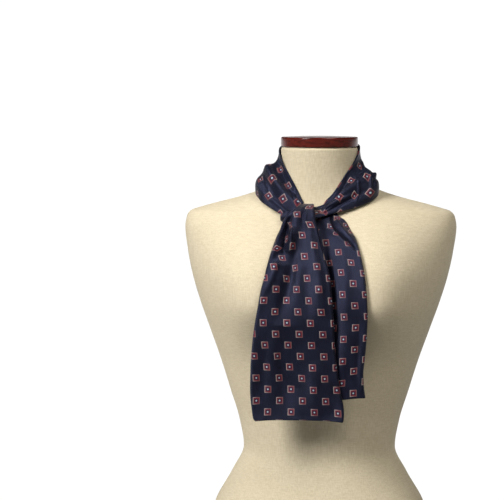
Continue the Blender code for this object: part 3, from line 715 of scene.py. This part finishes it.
def lofted(name, rings, material):
    """A closed piece through rings of points, closed at both ends by smaller and smaller rings."""
    rings = np.array(rings)
    count, sides = rings.shape[:2]
    points = rings.reshape(-1, 3)
    level, side = np.meshgrid(np.arange(count - 1), np.arange(sides), indexing="ij")
    after = (side + 1) % sides
    quads = np.stack([
        level * sides + side,
        (level + 1) * sides + side,
        (level + 1) * sides + after,
        level * sides + after,
    ], axis=-1).reshape(-1, 4)
    corners = np.stack([
        np.stack([side, level], axis=-1),
        np.stack([side, level + 1], axis=-1),
        np.stack([side + 1, level + 1], axis=-1),
        np.stack([side + 1, level], axis=-1),
    ], axis=2).reshape(-1, 4, 2) / (sides, count)
    piece = new_object(name, points, quads, corners, "round", material)
    close_ends(piece, count, sides)
    return piece


def close_ends(piece, count, sides):
    """Closes the two small open rings at the ends of a lofted piece with a flat face each."""
    shell = bmesh.new()
    shell.from_mesh(piece.data)
    shell.verts.ensure_lookup_table()
    shell.faces.new([shell.verts[k] for k in range(sides)])
    shell.faces.new([shell.verts[(count - 1) * sides + k] for k in reversed(range(sides))])
    shell.to_mesh(piece.data)
    shell.free()


def shrunk(points, share):
    """A ring of points drawn in towards its own middle."""
    middle = points.mean(axis=0)
    return middle + (points - middle) * share


def form_piece(material):
    """The cloth-covered torso of the dress form, with soft edges at its base and at the top of its neck."""
    fine = np.linspace(0, NECK_TOP, FORM_OUTLINE_STEPS)
    outline = np.stack([fine, read(FORM_TABLE, fine)[:, 1]], axis=-1)
    reached = np.concatenate([[0], np.cumsum(np.linalg.norm(np.diff(outline, axis=0), axis=1))])
    heights = np.interp(np.linspace(0, reached[-1], FORM_RINGS), reached, fine)
    base = ring(0.0, *read(FORM_TABLE, 0.0), FORM_SIDES)
    top = ring(NECK_TOP, *read(FORM_TABLE, NECK_TOP), FORM_SIDES)
    base_shares = np.linspace(FORM_END_HOLE, 1, FORM_END_RINGS, endpoint=False) * FORM_BASE_SHARE
    top_shares = np.linspace(1, FORM_END_HOLE, FORM_END_RINGS)[1:] * FORM_TOP_SHARE
    rings = [shrunk(base, share) for share in base_shares]
    for z in heights:
        inset = FORM_EDGE * edge_inset(min(z, NECK_TOP - z) / FORM_EDGE)
        middle, half_width, front, back, squareness = read(FORM_TABLE, z)
        rings.append(ring(z, middle, half_width - inset, front - inset, back - inset, squareness, FORM_SIDES))
    rings += [shrunk(top, share) for share in top_shares]
    piece = lofted("form_cover", rings, material)
    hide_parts("form_body")
    return piece


def edge_inset(distance):
    """How far in a rounded edge lies, as a share of its radius, this many radii from its end."""
    inward = 1 - np.clip(distance, 0, 1)
    return 1 - np.sqrt(1 - inward**2)


def cap_piece(material):
    """The turned wooden cap on the neck, with rounded edges and a low crown."""
    top = FORM_SECTIONS[-1]
    low = NECK_TOP + CAP_GAP
    high = low + CAP_THICKNESS - CAP_CROWN
    levels = []
    for step in range(CAP_CROWN_STEPS, 0, -1):
        levels.append((low, CAP_ROUND_LOW + CAP_CROWN_WIDTH * step / CAP_CROWN_STEPS))
    for step in range(CAP_ROUND_STEPS + 1):
        angle = math.pi / 2 * step / CAP_ROUND_STEPS
        levels.append((low + CAP_ROUND_LOW * (1 - math.cos(angle)), CAP_ROUND_LOW * (1 - math.sin(angle))))
    for step in range(CAP_ROUND_STEPS + 1):
        angle = math.pi / 2 * step / CAP_ROUND_STEPS
        drop = CAP_ROUND_HIGH * (1 - math.sin(angle))
        levels.append((high - drop, CAP_ROUND_HIGH * (1 - math.cos(angle))))
    for step in range(1, CAP_CROWN_STEPS + 1):
        inward = step / CAP_CROWN_STEPS
        rise = CAP_CROWN * (1 - (1 - inward) ** 2)
        levels.append((high + rise, CAP_ROUND_HIGH + CAP_CROWN_WIDTH * inward))
    rings = []
    for z, inset in levels:
        grow = CAP_OVERHANG - inset
        rings.append(ring(z, top.middle, top.half_width + grow, top.front + grow, top.back + grow,
                          top.squareness, CAP_SIDES))
    piece = lofted("cap_wood", rings, material)
    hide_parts("neck_cap")
    return piece


class Nodes:
    """A material and short ways to add nodes to it."""

    def __init__(self, name, roughness):
        self.material = bpy.data.materials.new(name)
        self.material.use_nodes = True
        self.tree = self.material.node_tree
        self.shader = self.tree.nodes["Principled BSDF"]
        self.shader.inputs["Roughness"].default_value = roughness

    def add(self, kind, **settings):
        """A node of a kind, with its settings."""
        node = self.tree.nodes.new("ShaderNode" + kind)
        for name, value in settings.items():
            setattr(node, name, value)
        return node

    def join(self, value, socket):
        """Links a socket, or sets a plain value, on an input."""
        if isinstance(value, bpy.types.NodeSocket):
            self.tree.links.new(value, socket)
        else:
            socket.default_value = value

    def math(self, operation, *values):
        """The result of an arithmetic node."""
        node = self.add("Math", operation=operation)
        for value, socket in zip(values, node.inputs):
            self.join(value, socket)
        return node.outputs[0]

    def step(self, value, low, high, start=0.0, end=1.0):
        """A value carried smoothly from start at low to end at high."""
        node = self.add("MapRange", interpolation_type="SMOOTHSTEP")
        for socket, given in zip(node.inputs, (value, low, high, start, end)):
            self.join(given, socket)
        return node.outputs[0]

    def mix(self, share, first, second, blend="MIX"):
        """Two colours mixed by a share."""
        node = self.add("Mix", data_type="RGBA", blend_type=blend)
        self.join(share, node.inputs[0])
        self.join(first if isinstance(first, bpy.types.NodeSocket) else (*first, 1), node.inputs[6])
        self.join(second if isinstance(second, bpy.types.NodeSocket) else (*second, 1), node.inputs[7])
        return node.outputs[2]

    def noise(self, place, scale, detail=2.0, stretch=(1, 1, 1)):
        """A noise texture, drawn out along an axis where stretch is small."""
        mapping = self.add("Mapping")
        mapping.inputs["Scale"].default_value = stretch
        self.join(place, mapping.inputs["Vector"])
        node = self.add("TexNoise")
        node.inputs["Scale"].default_value = scale
        node.inputs["Detail"].default_value = detail
        self.join(mapping.outputs[0], node.inputs["Vector"])
        return node.outputs[0]

    def bump(self, height, distance, strength=1.0, normal=None):
        """A bump from a height, over another bump if there is one."""
        node = self.add("Bump")
        node.inputs["Strength"].default_value = strength
        node.inputs["Distance"].default_value = distance
        self.join(height, node.inputs["Height"])
        if normal is not None:
            self.join(normal, node.inputs["Normal"])
        return node.outputs[0]


def silk_material():
    """Navy tie silk with a small woven figure of nested squares round a pale dot, in staggered rows."""
    n = Nodes("silk", 0.40)
    place = n.add("UVMap", uv_map="threads").outputs[0]
    parts = n.add("SeparateXYZ")
    n.join(place, parts.inputs[0])
    across, along = parts.outputs[0], parts.outputs[1]
    figures = []
    for shift in (0.5, 0.0):
        sides = []
        for value, repeat in ((across, REPEAT_ACROSS), (along, REPEAT_ALONG)):
            turn = n.math("FRACT", n.math("MULTIPLY_ADD", value, 1 / repeat, 100 + shift))
            sides.append(n.math("MULTIPLY_ADD", turn, repeat, -repeat / 2))
        reach = n.math("MAXIMUM", n.math("ABSOLUTE", sides[0]), n.math("ABSOLUTE", sides[1]))
        figures.append((sides, reach))
    (first, first_reach), (second, second_reach) = figures
    reach = n.math("MINIMUM", first_reach, second_reach)
    nearer = n.math("LESS_THAN", first_reach, second_reach)
    side = []
    for a, b in zip(first, second):
        side.append(n.math("MULTIPLY_ADD", n.math("SUBTRACT", a, b), nearer, b))
    squares = [n.math("MULTIPLY", value, value) for value in side]
    radius = n.math("SQRT", n.math("ADD", *squares))

    ribs = n.math("SINE", n.math("MULTIPLY", n.math("ADD", across, along), 2 * math.pi / RIB_PITCH))
    weft = n.math("SINE", n.math("MULTIPLY", along, 2 * math.pi / WEFT_PITCH))
    slub = n.noise(place, SLUB_SCALE, 3.0, (1.0, 0.12, 1.0))
    cloudy = n.noise(place, CLOUD_SCALE, 3.0)
    ground = n.mix(n.step(cloudy, 0.3, 0.7), GROUND_DEEP, GROUND)
    ground = n.mix(n.math("MULTIPLY", n.step(slub, 0.35, 0.75), 0.35), ground, GROUND_THREAD)
    outline = n.mix(n.step(side[0], *OUTLINE_TURN), FIGURE_OUTLINE_SIDE, FIGURE_OUTLINE)
    outline = n.mix(n.math("MULTIPLY", n.step(slub, 0.3, 0.7), 0.30), outline, GROUND)
    woven = n.step(reach, OUTLINE_HALF + THREAD_SOFT, OUTLINE_HALF - THREAD_SOFT)
    colour = n.mix(woven, ground, outline)
    inner = n.mix(n.math("MULTIPLY", n.step(slub, 0.35, 0.7), 0.55), FIGURE_FRAME, FIGURE_FRAME_DEEP)
    colour = n.mix(n.step(reach, FRAME_HALF + THREAD_SOFT, FRAME_HALF - THREAD_SOFT), colour, inner)
    colour = n.mix(n.step(reach, RING_HALF + THREAD_SOFT, RING_HALF - THREAD_SOFT), colour, FIGURE_RING)
    colour = n.mix(n.step(radius, DOT_RADIUS + THREAD_SOFT, DOT_RADIUS - THREAD_SOFT), colour, FIGURE_DOT)
    n.join(colour, n.shader.inputs["Base Color"])

    rough = n.math("MULTIPLY_ADD", woven, FIGURE_ROUGHER, n.step(slub, 0.2, 0.8, *SILK_ROUGH))
    n.join(rough, n.shader.inputs["Roughness"])
    weave = n.math("ADD", n.math("MULTIPLY", ribs, 0.6), n.math("MULTIPLY", weft, 0.4))
    weave = n.math("ADD", weave, n.math("MULTIPLY", slub, 1.5))
    raised = n.step(reach, OUTLINE_HALF + THREAD_SOFT, FRAME_HALF)
    n.join(n.bump(raised, 0.00015, 1.0, n.bump(weave, 0.00006)), n.shader.inputs["Normal"])
    n.shader.inputs["Specular IOR Level"].default_value = 0.38
    n.shader.inputs["Specular Tint"].default_value = SILK_SHINE
    n.shader.inputs["Sheen Weight"].default_value = 0.07
    n.shader.inputs["Sheen Roughness"].default_value = 0.45
    n.shader.inputs["Sheen Tint"].default_value = SILK_SHEEN
    return n.material


def cover_material():
    """Matt cream cloth with fine uneven upright and level threads."""
    n = Nodes("form cover", 0.93)
    place = n.add("TexCoord").outputs["Object"]
    upright = n.noise(place, 1100, 2.0, (1.0, 1.0, 0.07))
    level = n.noise(place, 1100, 2.0, (0.10, 0.10, 1.0))
    patches = n.noise(place, 9, 4.0)
    grain = n.math("ADD", n.math("MULTIPLY", upright, 0.55), n.math("MULTIPLY", level, 0.45))
    colour = n.mix(n.step(grain, 0.36, 0.64), COVER_DARK, COVER_LIGHT)
    colour = n.mix(n.math("MULTIPLY", n.step(patches, 0.35, 0.7), 0.16), colour, COVER_PATCH)
    n.join(colour, n.shader.inputs["Base Color"])
    n.join(n.bump(grain, 0.00035, 0.8), n.shader.inputs["Normal"])
    n.shader.inputs["Specular IOR Level"].default_value = 0.2
    n.shader.inputs["Sheen Weight"].default_value = 0.08
    return n.material


def wood_material():
    """Polished mahogany with fine dark grain."""
    n = Nodes("cap wood", 0.18)
    place = n.add("TexCoord").outputs["Object"]
    grain = n.noise(place, 60, 6.0, (0.35, 6.0, 6.0))
    pores = n.noise(place, 420, 3.0, (0.12, 3.0, 3.0))
    colour = n.mix(n.step(grain, 0.35, 0.65), WOOD_DARK, WOOD_LIGHT)
    colour = n.mix(n.step(pores, 0.62, 0.75, 0.0, 0.7), colour, WOOD_PORE)
    n.join(colour, n.shader.inputs["Base Color"])
    n.join(n.step(pores, 0.4, 0.8, 0.15, 0.30), n.shader.inputs["Roughness"])
    n.join(n.bump(pores, 0.00008, 0.4), n.shader.inputs["Normal"])
    n.shader.inputs["Specular IOR Level"].default_value = 0.30
    n.shader.inputs["Coat Weight"].default_value = 0.12
    n.shader.inputs["Coat Roughness"].default_value = 0.10
    return n.material


def add_stage():
    """A wide pale floor that far out is as bright as the studio behind it."""
    n = Nodes("floor", 0.9)
    place = n.add("TexCoord").outputs["Object"]
    colour = n.mix(n.noise(place, 0.8), FLOOR_DARK, FLOOR_LIGHT)
    n.join(colour, n.shader.inputs["Base Color"])
    reach = n.add("VectorMath", operation="LENGTH")
    n.join(place, reach.inputs[0])
    parts = n.add("SeparateXYZ")
    n.join(place, parts.inputs[0])
    behind = n.math("DIVIDE", parts.outputs[1], reach.outputs["Value"])
    glow = n.add("Emission")
    n.join(n.step(behind, *FLOOR_TURN, WORLD_DIM, WORLD_BRIGHT), glow.inputs["Strength"])
    n.join(n.mix(n.step(behind, *FLOOR_TURN), WORLD_WARM[:3], (1, 1, 1)), glow.inputs["Color"])
    near_blend = n.step(reach.outputs["Value"], *FLOOR_BLEND_BEHIND)
    far_blend = n.step(reach.outputs["Value"], *FLOOR_BLEND_ROUND)
    backed = n.math("MULTIPLY", near_blend, n.step(behind, *FLOOR_TURN))
    blend = n.add("MixShader")
    n.join(n.math("MAXIMUM", backed, far_blend), blend.inputs[0])
    n.join(n.shader.outputs[0], blend.inputs[1])
    n.join(glow.outputs[0], blend.inputs[2])
    n.join(blend.outputs[0], n.tree.nodes["Material Output"].inputs["Surface"])
    mesh = bpy.data.meshes.new("floor")
    corners = [(x * FLOOR_HALF, y * FLOOR_HALF, 0) for x, y in ((-1, -1), (1, -1), (1, 1), (-1, 1))]
    mesh.from_pydata(corners, [], [(0, 1, 2, 3)])
    mesh.materials.append(n.material)
    floor = bpy.data.objects.new("floor", mesh)
    floor.location.z = -FLOOR_GAP
    bpy.context.scene.collection.objects.link(floor)


def add_world():
    """A studio that is white behind the object, dimmer all round and darker overhead."""
    world = bpy.data.worlds.new("studio")
    world.use_nodes = True
    tree = world.node_tree
    background = tree.nodes["Background"]
    place = tree.nodes.new("ShaderNodeTexCoord")
    parts = tree.nodes.new("ShaderNodeSeparateXYZ")
    tree.links.new(place.outputs["Generated"], parts.inputs[0])
    ramps = []
    for socket, values in ((1, (*WORLD_TURN, 0, 1)), (2, WORLD_OVERHEAD)):
        ramp = tree.nodes.new("ShaderNodeMapRange")
        ramp.interpolation_type = "SMOOTHSTEP"
        for setting, value in zip(ramp.inputs[1:5], values):
            setting.default_value = value
        tree.links.new(parts.outputs[socket], ramp.inputs[0])
        ramps.append(ramp.outputs[0])
    lift = tree.nodes.new("ShaderNodeMath")
    lift.operation = "MULTIPLY_ADD"
    tree.links.new(ramps[0], lift.inputs[0])
    lift.inputs[1].default_value = WORLD_BRIGHT - WORLD_DIM
    lift.inputs[2].default_value = WORLD_DIM
    strength = tree.nodes.new("ShaderNodeMath")
    strength.operation = "MULTIPLY"
    tree.links.new(lift.outputs[0], strength.inputs[0])
    tree.links.new(ramps[1], strength.inputs[1])
    tree.links.new(strength.outputs[0], background.inputs["Strength"])
    tint = tree.nodes.new("ShaderNodeMix")
    tint.data_type = "RGBA"
    tree.links.new(ramps[0], tint.inputs[0])
    tint.inputs[6].default_value = WORLD_WARM
    tint.inputs[7].default_value = (1, 1, 1, 1)
    tree.links.new(tint.outputs[2], background.inputs["Color"])
    bpy.context.scene.world = world


def add_lights():
    """A soft key light from high on the viewer's left and a weaker one from high on the right."""
    for name, place, width, height, power, colour in LIGHTS:
        light = bpy.data.lights.new(name, "AREA")
        light.shape = "RECTANGLE"
        light.size = width
        light.size_y = height
        light.spread = LIGHT_SPREAD
        light.energy = power
        light.color = colour
        holder = bpy.data.objects.new(name, light)
        holder.location = place
        direction = Vector(LIGHT_TARGET) - Vector(place)
        holder.rotation_euler = direction.to_track_quat("-Z", "Y").to_euler()
        bpy.context.scene.collection.objects.link(holder)


def add_camera():
    """The camera at the photograph's viewing angle."""
    turn, rise = CAMERA_TURN, CAMERA_RISE
    right = Vector((math.cos(turn), math.sin(turn), 0))
    forward = Vector((-math.sin(turn) * math.cos(rise), math.cos(turn) * math.cos(rise), -math.sin(rise)))
    up = right.cross(forward)
    aim = CAMERA_AIM[0] * right + Vector((0, 0, CAMERA_AIM[1]))
    camera = bpy.data.cameras.new("camera")
    camera.sensor_width = SENSOR_WIDTH
    camera.lens = SENSOR_WIDTH * CAMERA_DISTANCE / METRES_PER_PIXEL / PHOTO_WIDTH
    holder = bpy.data.objects.new("camera", camera)
    axes = Matrix((right, up, -forward)).transposed().to_4x4()
    holder.matrix_world = Matrix.Translation(aim - CAMERA_DISTANCE * forward) @ axes
    bpy.context.scene.collection.objects.link(holder)
    bpy.context.scene.camera = holder


def build_object():
    """Every piece of the object, declared to the frame."""
    silk = silk_material()
    form_piece(cover_material())
    cap_piece(wood_material())
    neck = cloth_piece("neck_stretch_silk", neck_cloth(), BAND_THICKNESS, ("rim", "edge"), silk)
    knot = cloth_piece("knot_band_silk", knot_cloth(), BAND_THICKNESS, ("start", "rim", "edge"), silk)
    cloth = tail_cloth(FRONT_TAIL, FRONT_FOLDS, FRONT_STATIONS, FRONT_ACROSS, FRONT_THREAD, FRONT_FIGURE)
    front = cloth_piece("front_tail_silk", cloth, CLOTH_THICKNESS, ("end",), silk)
    cloth = tail_cloth(REAR_TAIL, REAR_FOLDS, REAR_STATIONS, REAR_ACROSS, REAR_THREAD, REAR_FIGURE)
    rear = cloth_piece("rear_tail_silk", cloth, CLOTH_THICKNESS, ("end",), silk)


add_camera()
build_object()
add_stage()
add_world()
add_lights()
bpy.context.scene.view_settings.view_transform = "Standard"
